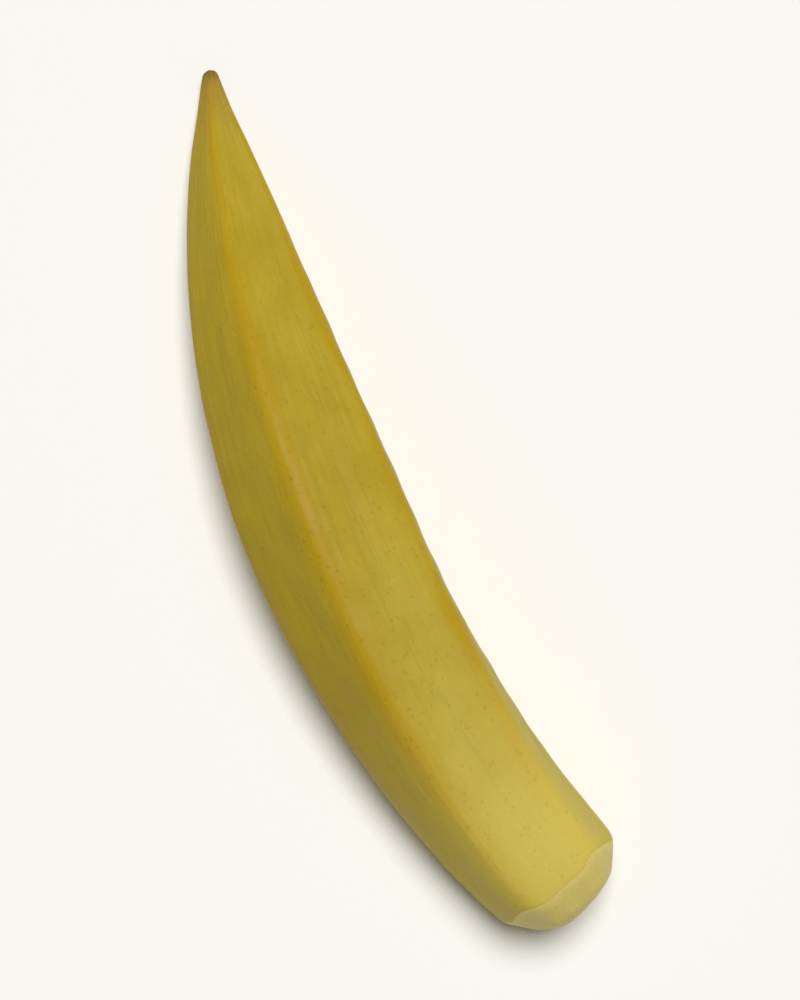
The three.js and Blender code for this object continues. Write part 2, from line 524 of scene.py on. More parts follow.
def body_radius(along):
    """Mean radius of the pod at a distance along it, before the stem end is pared."""
    swell = np.sin(math.pi / 2 * along / BELLY_AT)
    rounding = np.clip(1 - along / SHOULDER_ROUNDING_LENGTH, 0, None) ** 2
    stem_half = mix(SHOULDER_RADIUS, BELLY_RADIUS, swell) - SHOULDER_ROUNDING_DEPTH * rounding
    taper = np.clip((along - BELLY_AT) / (POD_LENGTH - BELLY_AT), 0, 1)
    fullness = (1 - taper**TAPER_POWER) ** TAPER_ROUNDNESS
    beak = smoothstep(along, POD_LENGTH - BEAK_LENGTH, POD_LENGTH)
    into_tip = np.clip(1 + (along - POD_LENGTH) / TIP_RADIUS, 0, 1)
    bluntness = np.sqrt(1 - into_tip**2)
    tapering = BELLY_RADIUS * fullness * (1 - BEAK_HOLLOW * beak) + TIP_RADIUS * beak
    return np.where(along < BELLY_AT, stem_half, tapering * bluntness)


def spiral_turn(along):
    """Turn of the first ridge from straight up, towards the outside of the bend."""
    return mix(RIDGE_TURN_AT_TIP, RIDGE_TURN_AT_STEM, np.exp(-along / SPIRAL_EASES_OVER))


def ridge_angle(index):
    """Where a ridge stands: midway between the faces on its two sides, the first before face 0."""
    lap, after = divmod(index, RIDGE_COUNT)
    face_before = FACE_TURNS[after - 1] - (0 if after else 360)
    return (face_before + FACE_TURNS[after]) / 2 + 360 * lap


def ring_turns(steps_per_face):
    """Turns of the points of one ring, so that every ridge has a point of its own."""
    turns = []
    for ridge in range(RIDGE_COUNT):
        shares = np.arange(steps_per_face) / steps_per_face
        turns.append(mix(ridge_angle(ridge), ridge_angle(ridge + 1), shares))
    return np.concatenate(turns)


def nearness(turns, marks, half_width):
    """1 on any of the marked turns, falling to 0 beside them."""
    return sum(np.exp(-((turn_between(mark, turns) / half_width) ** 2)) for mark in marks)


RIDGE_ANGLES = [ridge_angle(index) for index in range(RIDGE_COUNT)]


def section_radius(along, turns):
    """Radius of the ridged section."""
    sharpness = mix(SHOULDER_SHARPNESS, RIDGE_SHARPNESS, smoothstep(along, 0, BELLY_AT))
    sharpness = mix(sharpness, TIP_SHARPNESS, smoothstep(along, BELLY_AT, POD_LENGTH))
    faces = 0
    for face in FACE_TURNS:
        faces = faces + np.clip(np.cos(np.radians(turns - face)), 0, None) ** sharpness
    size = body_radius(along)
    plain = size / (MEAN_OF_SECTION * faces ** (1 / sharpness))
    keels = nearness(turns, RIDGE_ANGLES, KEEL_HALF_WIDTH)
    return plain + KEEL_HEIGHT * keels * (size / BELLY_RADIUS)


def heading(along):
    """Heading of the axis seen from above, in radians. It turns towards -Y along the pod."""
    eased = BEND_EASES_OVER * (1 - np.exp(-along / BEND_EASES_OVER))
    return -np.radians(BEND_AT_TIP * along + (BEND_AT_STEM - BEND_AT_TIP) * eased)


def depth_under_axis(along):
    """How far the lowest point of a section is under the axis."""
    turns = ring_turns(REST_STEPS_PER_FACE)
    column = along[:, None]
    lowered = -np.cos(np.radians(spiral_turn(column) + turns)) * section_radius(column, turns)
    return lowered.max(axis=1)


def axis_height(along):
    """Height of the axis: the underside lies on the floor in the middle, and lifts at both ends."""
    touching = np.clip(along, TOUCHES_FROM, TOUCHES_TO)
    fall = depth_under_axis(touching + SLOPE_STEP) - depth_under_axis(touching - SLOPE_STEP)
    slope = fall / (2 * SLOPE_STEP)
    return depth_under_axis(touching) - SAG_FLAT_DEPTH + slope * (along - touching)


class Axis:
    """The pod's bent centre line."""

    def __init__(self):
        stub_steps = round(STUB_LENGTH / AXIS_STEP)
        steps = round(POD_LENGTH / AXIS_STEP)
        self.stations = np.arange(-stub_steps, steps + 1) * AXIS_STEP
        onwards = heading(self.stations[:-1] + AXIS_STEP / 2)
        x = np.concatenate([[0], np.cumsum(AXIS_STEP * np.cos(onwards))])
        y = np.concatenate([[0], np.cumsum(AXIS_STEP * np.sin(onwards))])
        z = axis_height(self.stations)
        self.columns = [x - x[stub_steps], y - y[stub_steps], z]
        self.rises = np.gradient(z, AXIS_STEP)

    def frames(self, along):
        """Places on the axis, their directions, and the two directions across: up, outwards."""
        place = np.stack([np.interp(along, self.stations, c) for c in self.columns], axis=-1)
        turn = heading(along)
        outwards = np.stack([-np.sin(turn), np.cos(turn), np.zeros_like(turn)], axis=-1)
        rise = np.interp(along, self.stations, self.rises)
        forwards = np.stack([outwards[..., 1], -outwards[..., 0], rise], axis=-1)
        forwards /= np.linalg.norm(forwards, axis=-1, keepdims=True)
        up = np.cross(forwards, outwards)
        return place, forwards, up, outwards

    def rays(self, along, turns):
        """Places on the axis, and the direction out to the skin at those turns."""
        place, _, up, outwards = self.frames(along)
        turn = np.radians(spiral_turn(along) + turns)[..., None]
        return place, up * np.cos(turn) + outwards * np.sin(turn)


def wobble(stroke, use):
    """A repeatable unevenness from -1 to 1, different for each stroke and each of its uses."""
    phase = WOBBLE_PER_STROKE * stroke + WOBBLE_PER_USE * use
    return math.sin(phase + WOBBLE_PER_BOTH * stroke * use)


class Knife:
    """The planes of the knife strokes round the stem end, and of the cut across it."""

    def __init__(self, axis):
        place, forwards, up, outwards = axis.frames(np.array(0.0))
        self.strokes = []
        for paring in PARING_ROUNDS:
            for stroke in range(paring["strokes"]):
                unevenness = STROKE_TURN_WOBBLE * wobble(stroke, FOR_TURN)
                turn = math.radians(360 / paring["strokes"] * stroke + unevenness)
                lean = STROKE_TILT_LEAN * math.sin(turn)
                unevenness = STROKE_TILT_WOBBLE * wobble(stroke, FOR_TILT)
                tilt = math.radians(paring["tilt"] - lean + unevenness)
                unevenness = STROKE_DEPTH_WOBBLE * wobble(stroke, FOR_DEPTH)
                radius = paring["radius"] + unevenness
                aside = up * math.cos(turn) + outwards * math.sin(turn)
                normal = aside * math.cos(tilt) - forwards * math.sin(tilt)
                self.strokes.append((place + radius * aside, normal))
        tilt = math.radians(CROSS_CUT_TILT)
        self.centre = place
        self.forwards = forwards
        self.across = up * math.sin(tilt) - forwards * math.cos(tilt)

    def pared_radius(self, place, direction):
        """How far out the pod reaches from the axis before it meets a knife stroke."""
        reach = np.full(place.shape[:-1], np.inf)
        for point, normal in self.strokes:
            facing = direction @ normal
            gap = (point - place) @ normal
            met = np.where(facing > 0, gap / np.where(facing > 0, facing, 1), np.inf)
            reach = np.minimum(reach, met)
        return reach


class PodForm:
    """Every point of the pod's surface, in rows from the middle of the cut across to the tip."""

    def __init__(self, relief):
        self.axis = Axis()
        self.knife = Knife(self.axis)
        self.turns = ring_turns(STEPS_PER_FACE)
        self.rim = self.find_rim()
        self.edge = self.find_knife_edge()
        self.lay_rows()
        self.find_marks()
        self.raise_relief(relief)
        self.lay_core()
        self.soften_edges()
        self.roughen_cuts(relief)
        self.square_up()

    def find_rim(self):
        """Where the cut across meets the pared cone in each column, as distances along."""
        along = np.zeros(STEPS_ROUND)
        for _ in range(RIM_ROUNDS):
            place, direction = self.axis.rays(along, self.turns)
            points = place + direction * self.knife.pared_radius(place, direction)[:, None]
            past = (points - self.knife.centre) @ self.knife.across
            along = along + past / -(self.knife.forwards @ self.knife.across)
        return along

    def find_knife_edge(self):
        """Where the pared cone meets the skin in each column, found by halving."""
        low = self.rim.copy()
        high = np.full(STEPS_ROUND, 2 * SHOULDER_RADIUS)
        for _ in range(EDGE_HALVINGS):
            middle = (low + high) / 2
            place, direction = self.axis.rays(middle, self.turns)
            skin = section_radius(middle, self.turns)
            is_pared = self.knife.pared_radius(place, direction) < skin
            low = np.where(is_pared, middle, low)
            high = np.where(is_pared, high, middle)
        return (low + high) / 2

    def lay_rows(self):
        """The cone's rows from the rim to the knife's edge, then the body's rows to the tip."""
        cone = mix(self.rim, self.edge, np.linspace(0, 1, CONE_ROWS, endpoint=False)[:, None])
        shares = np.linspace(0, 1, BODY_ROWS)
        shares = shares - BODY_CROWDING * np.sin(2 * math.pi * shares) / (2 * math.pi)
        body = mix(self.edge, POD_LENGTH - TIP_GAP, shares[:, None])
        self.along = np.concatenate([cone, body])
        self.round = np.broadcast_to(self.turns, self.along.shape)
        self.place, self.direction = self.axis.rays(self.along, self.round)
        skin = section_radius(self.along, self.round)
        pared = self.knife.pared_radius(self.place, self.direction)
        self.radius = np.minimum(skin, pared)
        is_cone = np.arange(len(self.along)) < CONE_ROWS
        self.spread = np.where(is_cone[:, None], self.radius, BELLY_RADIUS)

    def straightened(self):
        """The surface's points on a straight pod with no spiral, whose skin doesn't taper."""
        turn = np.radians(self.round)
        return np.stack(
            [self.along, self.spread * np.cos(turn), self.spread * np.sin(turn)], axis=-1
        )

    def find_marks(self):
        """How far each point is from the knife's edge, and how near a ridge and the upward side
        that gets painted light.
        """
        self.from_edge = self.along - self.edge
        self.ridges = nearness(self.round, RIDGE_ANGLES, RIDGE_HALF_WIDTH)
        self.sunned = nearness(self.round, [SUNNED_TURN], SUNNED_HALF_WIDTH)

    def raise_relief(self, relief):
        """Adds seed swellings, suture lines, slow waves and veins to the skin."""
        size = body_radius(self.along) / BELLY_RADIUS
        on_skin = smoothstep(self.from_edge, 0, RELIEF_FADE)
        seeds = self.seed_rows(relief.seed_pitch)
        sutures = nearness(self.round, FACE_TURNS, SUTURE_HALF_WIDTH)
        straight = self.straightened()
        stretched = straight * [WAVE_STRETCH, 1, 1]
        waves = noise_at(stretched, relief.wave_length / BIG_PATCHES_PER_WAVE)
        small_waves = noise_at(stretched, relief.wave_length / SMALL_PATCHES_PER_WAVE)
        waves += SMALL_WAVE_SHARE * small_waves
        veins = noise_at(straight * [VEIN_STRETCH, 1, 1], VEIN_SPACING)
        lift = relief.seed_swell * seeds - relief.suture_depth * sutures
        lift += relief.unevenness * waves + relief.vein_height * veins
        self.radius = self.radius + lift * on_skin * size

    def seed_rows(self, pitch):
        """1 over the middle of a seed, falling to 0 round it. Two rows run beside each ridge."""
        seeds = np.zeros_like(self.along)
        for ridge, angle in enumerate(RIDGE_ANGLES):
            for side in (-1, 1):
                aside = turn_between(angle + side * SEED_TURN, self.round) / SEED_HALF_WIDTH
                shift = ridge * SEED_SHIFT_PER_RIDGE + side * SEED_SHIFT_PER_SIDE
                phase = shift * 2 * math.pi
                bead = 0.5 + 0.5 * np.cos(2 * math.pi * self.along / pitch + phase)
                seeds += np.exp(-(aside**2)) * bead**SEED_NARROWNESS
        held = smoothstep(self.along, SEEDS_FROM, SEEDS_FROM + SEED_RAMP)
        return seeds * held * (1 - smoothstep(self.along, SEEDS_TO - SEED_RAMP, SEEDS_TO))

    def lay_core(self):
        """The cut across: rows from its middle out to the rim."""
        self.points = self.place + self.direction * self.radius[..., None]
        shares = (np.arange(CORE_ROWS) + 0.5) / CORE_ROWS
        core = mix(self.knife.centre, self.points[0], shares[:, None, None])
        self.core_shares = np.broadcast_to(shares[:, None], (CORE_ROWS, STEPS_ROUND))
        self.points = np.concatenate([core, self.points])

    def soften_edges(self):
        """Rounds the rim, the knife's edge and the facets between them, as pickling does."""
        first = CORE_ROWS - SOFTENED_CORE_ROWS
        last = CORE_ROWS + CONE_ROWS + SOFTENED_SKIN_ROWS
        for _ in range(SOFTENING_PASSES):
            band = self.points[first - 1 : last + 1]
            beside = (np.roll(band, 1, axis=1) + np.roll(band, -1, axis=1)) / 2
            before_after = (band[:-2] + band[2:]) / 2
            middle = band[1:-1]
            self.points[first:last] = 0.5 * middle + 0.25 * (beside[1:-1] + before_after)

    def roughen_cuts(self, relief):
        """Raises fibres on the pared cone, and gives the core its ring and its sunken pith."""
        core = self.points[:CORE_ROWS]
        cone = self.points[CORE_ROWS : CORE_ROWS + CONE_ROWS]
        shares = self.core_shares
        sunken = 1 - smoothstep(shares, PITH_SHARE, RING_SHARE)
        ring = np.exp(-(((shares - RING_SHARE - RING_HALF_WIDTH) / RING_HALF_WIDTH) ** 2))
        sponge = noise_at(core, PITH_GRAIN) * (1 - shares**PITH_GRAIN_POWER)
        rise = relief.pith_depth * (RING_RISE * ring - sunken + PITH_ROUGHNESS * sponge)
        core += rise[..., None] * self.knife.across
        straight = self.straightened()[:CONE_ROWS]
        fade = np.sin(math.pi * np.linspace(0, 1, CONE_ROWS))[:, None]
        grain = noise_at(straight * [FLESH_STRETCH, 1, 1], FLESH_GRAIN)
        grain = grain * relief.knife_grain * fade
        cone += grain[..., None] * self.direction[:CONE_ROWS]
        self.centre = core[0].mean(axis=0)

    def square_up(self):
        """Turns the line from cut end to tip onto +X, centres the pod on the CAD box, rests it."""
        tip = np.array([column[-1] for column in self.axis.columns])
        turn = -math.atan2(tip[1], tip[0])
        turned = np.array(
            [[math.cos(turn), -math.sin(turn), 0], [math.sin(turn), math.cos(turn), 0], [0, 0, 1]]
        )
        self.points = self.points @ turned.T
        self.centre = turned @ self.centre
        self.tip = turned @ tip
        low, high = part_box("okra_pod")
        flat = self.points.reshape(-1, 3)
        middle = (flat.min(axis=0) + flat.max(axis=0)) / 2
        shift = np.array([(low.x + high.x) / 2 - middle[0], (low.y + high.y) / 2 - middle[1], 0])
        self.points = self.points + shift
        self.centre = self.centre + shift
        self.tip = self.tip + shift
        self.points[..., 2] = np.maximum(self.points[..., 2], low.z)


def new_object(name, data):
    """An object with that data, in the scene."""
    made = bpy.data.objects.new(name, data)
    bpy.context.scene.collection.objects.link(made)
    return made


def noise_at(points, size):
    """Smooth noise from -1 to 1 at each point, with patches of about that size."""
    flat = points.reshape(-1, 3) / size
    values = [noise.noise(Vector(point)) for point in flat]
    return np.array(values).reshape(points.shape[:-1])


def build_pod_mesh(form):
    """The pod's surface as one closed mesh, with a material for each kind of surface."""
    rows = len(form.points)
    points = np.concatenate([form.points.reshape(-1, 3), form.centre[None], form.tip[None]])
    centre = rows * STEPS_ROUND
    tip = centre + 1
    faces = []
    kinds = []
    for i in range(STEPS_ROUND):
        faces.append((centre, i, (i + 1) % STEPS_ROUND))
        kinds.append(CORE)
    for row in range(rows - 1):
        kind = CORE if row < CORE_ROWS else FLESH if row < CORE_ROWS + CONE_ROWS else SKIN
        start = row * STEPS_ROUND
        for i in range(STEPS_ROUND):
            a = start + i
            b = start + (i + 1) % STEPS_ROUND
            faces.append((a, a + STEPS_ROUND, b + STEPS_ROUND, b))
            kinds.append(kind)
    start = (rows - 1) * STEPS_ROUND
    for i in range(STEPS_ROUND):
        faces.append((start + i, tip, start + (i + 1) % STEPS_ROUND))
        kinds.append(SKIN)
    mesh = bpy.data.meshes.new("okra_pod_skin")
    mesh.from_pydata(points.tolist(), [], faces)
    mesh.polygons.foreach_set("material_index", kinds)
    mesh.shade_smooth()
    return mesh


def with_core(body_values, core_values, centre_value, tip_value):
    """Values for every vertex of the mesh, in the order of its points."""
    parts = [core_values, body_values]
    width = np.shape(body_values)[2:]
    flat = np.concatenate([np.asarray(part).reshape((-1, *width)) for part in parts])
    ends = np.array([centre_value, tip_value]).reshape((2, *width))
    return np.concatenate([flat, ends])


def store_marks(mesh, form):
    """Keeps on the mesh where the ridges, the upward side with painted light, the knife edge and
    the core rings are.
    """
    straight = form.straightened()
    core_straight = straight[:1] * form.core_shares[..., None] * [0, 1, 1]
    nothing = np.zeros_like(form.core_shares)
    marks = {
        "ridges": with_core(form.ridges, nothing, 0, 0),
        "sunned": with_core(form.sunned, nothing, 0, 0),
        "from_edge": with_core(form.from_edge, nothing - form.edge, 0, POD_LENGTH),
        "core_share": with_core(np.ones_like(form.along), form.core_shares, 0, 1),
    }
    for name, values in marks.items():
        mark = mesh.attributes.new(name, "FLOAT", "POINT")
        mark.data.foreach_set("value", values.astype(np.float32))
    vectors = with_core(straight, core_straight, (0, 0, 0), (POD_LENGTH, 0, 0))
    mark = mesh.attributes.new("straightened", "FLOAT_VECTOR", "POINT")
    mark.data.foreach_set("vector", vectors.astype(np.float32).ravel())


def add(tree, kind, inputs=None, **settings):
    """Adds a shader node, sets its options, and fills or links its inputs."""
    made = tree.nodes.new(kind)
    row, column = divmod(len(tree.nodes), NODES_ACROSS)
    made.location = (column * NODE_WIDTH, -row * NODE_HEIGHT)
    for name, value in settings.items():
        setattr(made, name, value)
    for key, value in (inputs or {}).items():
        if isinstance(value, bpy.types.NodeSocket):
            tree.links.new(value, made.inputs[key])
        else:
            made.inputs[key].default_value = value
    return made


def maths(tree, operation, *values, clamp=False):
    """The result of a math node."""
    inputs = dict(enumerate(values))
    return add(tree, "ShaderNodeMath", inputs, operation=operation, use_clamp=clamp).outputs[0]


def product(tree, value, *others):
    """Several numbers multiplied."""
    for other in others:
        value = maths(tree, "MULTIPLY", value, other)
    return value


def weighted_sum(tree, *terms):
    """The sum of several numbers, each times its weight."""
    total = 0.0
    for value, weight in terms:
        total = maths(tree, "MULTIPLY_ADD", value, weight, total)
    return total


def vary(tree, value, noise_value, amount):
    """A value moved up and down by a noise whose middle is 0.5."""
    centred = maths(tree, "SUBTRACT", noise_value, 0.5)
    return maths(tree, "MULTIPLY_ADD", centred, amount, value)


def blend_colours(tree, share, first, second):
    """The colour between two others. Plain colours are given as three numbers."""
    inputs = {"Factor": share}
    for index, colour in zip(MIX_COLOURS, (first, second)):
        is_socket = isinstance(colour, bpy.types.NodeSocket)
        inputs[index] = colour if is_socket else (*colour, 1)
    return add(tree, "ShaderNodeMix", inputs, data_type="RGBA").outputs[MIXTURE]


def paint(tree, colour, *layers):
    """A ground colour with layers over it, each given by the share it covers and its colour."""
    for share, layer in layers:
        colour = blend_colours(tree, share, colour, layer)
    return colour


def ramp(tree, value, start, end, low=0.0, high=1.0):
    """A value moved smoothly from one range to another."""
    inputs = {"Value": value, "From Min": start, "From Max": end, "To Min": low, "To Max": high}
    made = add(tree, "ShaderNodeMapRange", inputs, interpolation_type="SMOOTHSTEP")
    return made.outputs["Result"]


def attribute(tree, name, output="Fac"):
    """One of the marks stored on the mesh."""
    return add(tree, "ShaderNodeAttribute", attribute_name=name).outputs[output]


def new_material(name):
    """A material with its node tree and its shader."""
    material = bpy.data.materials.new(name)
    material.use_nodes = True
    return material, material.node_tree, material.node_tree.nodes["Principled BSDF"]


def new_group(name, inputs, outputs):
    """A shader node group with number and vector inputs and number outputs."""
    tree = bpy.data.node_groups.new(name, "ShaderNodeTree")
    for label, default in inputs.items():
        kind = "NodeSocketVector" if default is None else "NodeSocketFloat"
        socket = tree.interface.new_socket(name=label, in_out="INPUT", socket_type=kind)
        if default is not None:
            socket.default_value = default
    for label in outputs:
        tree.interface.new_socket(name=label, in_out="OUTPUT", socket_type="NodeSocketFloat")
    return tree, add(tree, "NodeGroupInput").outputs, add(tree, "NodeGroupOutput").inputs


def fibre_group():
    """Streaks that run along the pod, as fibres do in skin and flesh."""
    tree, given, result = new_group(
        "Okra fibres", {"Straightened": None, "Spacing": 0.4 * MM, "Stretch": 12.0}, ["Streaks"]
    )
    inverse = maths(tree, "DIVIDE", 1.0, given["Spacing"])
    along = maths(tree, "DIVIDE", inverse, given["Stretch"])
    scale = add(tree, "ShaderNodeCombineXYZ", {"X": along, "Y": inverse, "Z": inverse})
    inputs = {0: given["Straightened"], 1: scale.outputs[0]}
    scaled = add(tree, "ShaderNodeVectorMath", inputs, operation="MULTIPLY").outputs[0]
    streaks = add(tree, "ShaderNodeTexNoise", {"Vector": scaled, "Scale": 1.0, "Detail": 3.0})
    tree.links.new(streaks.outputs["Fac"], result["Streaks"])
    return tree


def mottle_group():
    """Soft cloudy patches, with smaller ones in them."""
    tree, given, result = new_group(
        "Okra mottling", {"Straightened": None, "Patch size": 6 * MM, "Contrast": 1.0}, ["Patches"]
    )
    inverse = maths(tree, "DIVIDE", 1.0, given["Patch size"])
    inputs = {"Vector": given["Straightened"], "Scale": inverse, "Detail": 4.0, "Roughness": 0.6}
    clouds = add(tree, "ShaderNodeTexNoise", inputs).outputs["Fac"]
    centred = maths(tree, "SUBTRACT", clouds, 0.5)
    stretched = maths(tree, "MULTIPLY_ADD", centred, given["Contrast"], 0.5, clamp=True)
    tree.links.new(stretched, result["Patches"])
    return tree


def freckle_group():
    """Small scattered spots. Share says how many of the possible spots are there."""
    tree, given, result = new_group(
        "Okra freckles",
        {"Straightened": None, "Spacing": 1.5 * MM, "Spot size": 0.15, "Share": 0.5},
        ["Spots"],
    )
    inverse = maths(tree, "DIVIDE", 1.0, given["Spacing"])
    inputs = {0: given["Straightened"], "Scale": inverse}
    scaled = add(tree, "ShaderNodeVectorMath", inputs, operation="SCALE").outputs[0]
    wander = add(tree, "ShaderNodeTexNoise", {"Vector": scaled, "Scale": SPOT_WANDER_SCALE})
    inputs = {0: wander.outputs["Color"], 1: (SPOT_WANDER, SPOT_WANDER, SPOT_WANDER), 2: scaled}
    moved = add(tree, "ShaderNodeVectorMath", inputs, operation="MULTIPLY_ADD").outputs[0]
    cells = add(tree, "ShaderNodeTexVoronoi", {"Vector": moved, "Scale": 1.0})
    near = maths(tree, "DIVIDE", cells.outputs["Distance"], given["Spot size"])
    spot = ramp(tree, near, *SPOT_FADE)
    pick = add(tree, "ShaderNodeSeparateColor", {"Color": cells.outputs["Color"]}).outputs[0]
    kept = maths(tree, "LESS_THAN", pick, given["Share"])
    tree.links.new(maths(tree, "MULTIPLY", spot, kept), result["Spots"])
    return tree


class OkraMaterials:
    """The pod's three materials. Each lays the shared effects on with values of its own."""

    def __init__(self, skin, flesh):
        self.look = skin
        self.flesh = flesh
        self.fibres = fibre_group()
        self.mottling = mottle_group()
        self.freckles = freckle_group()

    def lay(self, tree, group, **values):
        """Places a shared effect in a material and gives its output."""
        inputs = {name.replace("_", " "): value for name, value in values.items()}
        inputs["Straightened"] = attribute(tree, "straightened", "Vector")
        return add(tree, "ShaderNodeGroup", inputs, node_tree=group).outputs[0]

    def skin(self):
        """Olive and gold skin: mottled, streaked along the pod, freckled, darker at the beak, with
        painted light paling its upward side.
        """
        material, tree, shader = new_material("Okra skin")
        look = self.look
        browned = self.flesh.browned_colour
        patches = self.lay(tree, self.mottling, Patch_size=7 * MM, Contrast=1.6)
        streaks = self.lay(tree, self.fibres, Spacing=0.45 * MM, Stretch=14.0)
        veins = self.lay(tree, self.fibres, Spacing=0.3 * MM, Stretch=45.0)
        fine = self.lay(tree, self.fibres, Spacing=0.16 * MM, Stretch=9.0)
        hairs = self.lay(tree, self.freckles, Spacing=0.62 * MM, Spot_size=0.24, Share=0.75)
        past_tip = self.ragged_tip(tree, streaks)
        colour = paint(
            tree,
            look.face_colour,
            (patches, look.deep_colour),
            (ramp(tree, streaks, *STREAK_FADE), look.deep_colour),
            (ramp(tree, veins, *VEIN_FADE), look.vein_colour),
            # Painted light: the upward side that faces the light is painted paler.
            (self.sunned_side(tree, patches), look.sunned_colour),
            (self.golden_ridges(tree), look.ridge_colour),
            # Pale shoulder: partly the skin's own paler tone, partly painted light on the upward
            # side.
            (self.pale_shoulder(tree), look.shoulder_colour),
            (ramp(tree, attribute(tree, "from_edge"), *CUT_EDGE_FADE), browned),
            (self.freckled(tree), look.freckle_colour),
            (ramp(tree, past_tip, *BEAK_FADE), browned),
            (ramp(tree, past_tip, *TIP_FADE), look.beak_colour),
        )
        tree.links.new(colour, shader.inputs["Base Color"])
        rough = vary(tree, look.roughness, fine, SKIN_GLOSS_CHANGE)
        tree.links.new(rough, shader.inputs["Roughness"])
        fibres = ((streaks, STREAK_RELIEF), (fine, FINE_RELIEF), (veins, VEIN_RELIEF))
        height = weighted_sum(tree, *fibres, (hairs, HAIR_RELIEF))
        self.relief(tree, shader, height, strength=0.9, distance=0.1 * MM)
        self.soften(shader, weight=0.6, depth=2.2 * MM)
        cover = ramp(tree, patches, *WET_FADE)
        self.wet(tree, shader, cover, reflection=0.04, film_roughness=0.28)
        return material

    def sunned_side(self, tree, patches):
        """Painted light: where the skin is painted paler on the side that faces the light,
        unevenly, and less towards the tip.
        """
        uneven = ramp(tree, patches, *SUNNED_PATCH_FADE)
        fading = ramp(tree, attribute(tree, "from_edge"), *SUNNED_FADE)
        return product(tree, attribute(tree, "sunned"), uneven, fading)

    def golden_ridges(self, tree):
        """Where the skin is gold: along the ridges, unevenly wide."""
        blotches = self.lay(tree, self.fibres, Spacing=2.2 * MM, Stretch=5.0)
        crest = vary(tree, attribute(tree, "ridges"), blotches, GOLD_WANDER)
        return ramp(tree, crest, *GOLD_FADE)

    def pale_shoulder(self, tree):
        """Where the skin is pale beside the pared end: a real paler tone, painted paler still as
        painted light on the upward side.
        """
        near = ramp(tree, attribute(tree, "from_edge"), *SHOULDER_FADE)
        return product(tree, near, ramp(tree, attribute(tree, "sunned"), *SUNNED_SHOULDER_FADE))

    def freckled(self, tree):
        """Where the skin has freckles, and rubbed spots on its ridges."""
        spots = self.lay(tree, self.freckles, Spacing=1.7 * MM, Spot_size=0.1, Share=0.3)
        scuffs = self.lay(tree, self.freckles, Spacing=1.1 * MM, Spot_size=0.3, Share=0.3)
        scuffed = product(tree, scuffs, attribute(tree, "ridges"))
        return product(tree, maths(tree, "MAXIMUM", spots, scuffed), FRECKLE_STRENGTH)

    def ragged_tip(self, tree, streaks):
        """Distance past the pod's far end, made ragged along the streaks."""
        straight = attribute(tree, "straightened", "Vector")
        along = add(tree, "ShaderNodeSeparateXYZ", {0: straight}).outputs["X"]
        return vary(tree, maths(tree, "SUBTRACT", along, POD_LENGTH), streaks, DRIED_RAGGEDNESS)

    def pared_flesh(self):
        """Paler flesh under the knife: fibrous, clouded, with a few browned spots."""
        material, tree, shader = new_material("Okra pared flesh")
        flesh = self.flesh
        patches = self.lay(tree, self.mottling, Patch_size=2.5 * MM, Contrast=1.2)
        streaks = self.lay(tree, self.fibres, Spacing=0.16 * MM, Stretch=9.0)
        spots = self.lay(tree, self.freckles, Spacing=0.7 * MM, Spot_size=0.16, Share=0.2)
        colour = paint(
            tree,
            flesh.flesh_colour,
            (ramp(tree, streaks, *FLESH_STREAK_FADE), flesh.fibre_colour),
            (product(tree, patches, FLESH_CLOUD_STRENGTH), self.look.face_colour),
            (ramp(tree, attribute(tree, "from_edge"), *RIM_FADE), flesh.rim_colour),
            (product(tree, spots, FLESH_SPOT_STRENGTH), flesh.browned_colour),
        )
        tree.links.new(colour, shader.inputs["Base Color"])
        rough = vary(tree, FLESH_ROUGHNESS, streaks, FLESH_GLOSS_CHANGE)
        tree.links.new(rough, shader.inputs["Roughness"])
        self.relief(tree, shader, streaks, strength=0.6, distance=0.09 * MM)
        self.soften(shader, weight=0.45, depth=1.6 * MM)
        self.wet(tree, shader, patches, reflection=0.12, film_roughness=0.25)
        return material

    def cut_core(self):
        """The cut across: pale rind, a woody ring of fibre ends and a sunken spongy pith."""
        material, tree, shader = new_material("Okra cut core")
        flesh = self.flesh
        grain = self.lay(tree, self.mottling, Patch_size=0.5 * MM, Contrast=1.8)
        clouds = self.lay(tree, self.mottling, Patch_size=1.6 * MM, Contrast=1.6)
        ends = self.lay(tree, self.freckles, Spacing=0.32 * MM, Spot_size=0.5, Share=0.8)
        share = vary(tree, attribute(tree, "core_share"), clouds, RING_WANDER)
        from_ring = maths(tree, "ABSOLUTE", maths(tree, "SUBTRACT", share, RING_SHARE))
        in_ring = ramp(tree, from_ring, *FIBRE_END_FADE)
        colour = paint(
            tree,
            flesh.pith_colour,
            (ramp(tree, share, PITH_SHARE, RING_SHARE), flesh.ring_colour),
            (ramp(tree, share, RING_END, RIND_START), flesh.flesh_colour),
            (product(tree, ends, in_ring), flesh.browned_colour),
            (product(tree, grain, CORE_GRAIN_STRENGTH), flesh.fibre_colour),
        )
        tree.links.new(colour, shader.inputs["Base Color"])
        shader.inputs["Roughness"].default_value = CORE_ROUGHNESS
        height = weighted_sum(tree, (grain, 1), (ends, FIBRE_END_RELIEF))
        self.relief(tree, shader, height, strength=0.6, distance=0.06 * MM)
        self.soften(shader, weight=0.35, depth=1.2 * MM)
        return material

    def relief(self, tree, shader, height, strength, distance):
        """Fine relief that the mesh is too coarse for."""
        inputs = {"Strength": strength, "Distance": distance, "Height": height}
        bump = add(tree, "ShaderNodeBump", inputs)
        tree.links.new(bump.outputs["Normal"], shader.inputs["Normal"])

    def wet(self, tree, shader, cover, reflection, film_roughness):
        """How strongly the surface reflects, and a thin wet film that covers it unevenly."""
        film = product(tree, cover, self.look.wetness)
        tree.links.new(film, shader.inputs["Coat Weight"])
        shader.inputs["Specular IOR Level"].default_value = reflection
        shader.inputs["Coat Roughness"].default_value = film_roughness
        shader.inputs["Coat IOR"].default_value = WATER_IOR

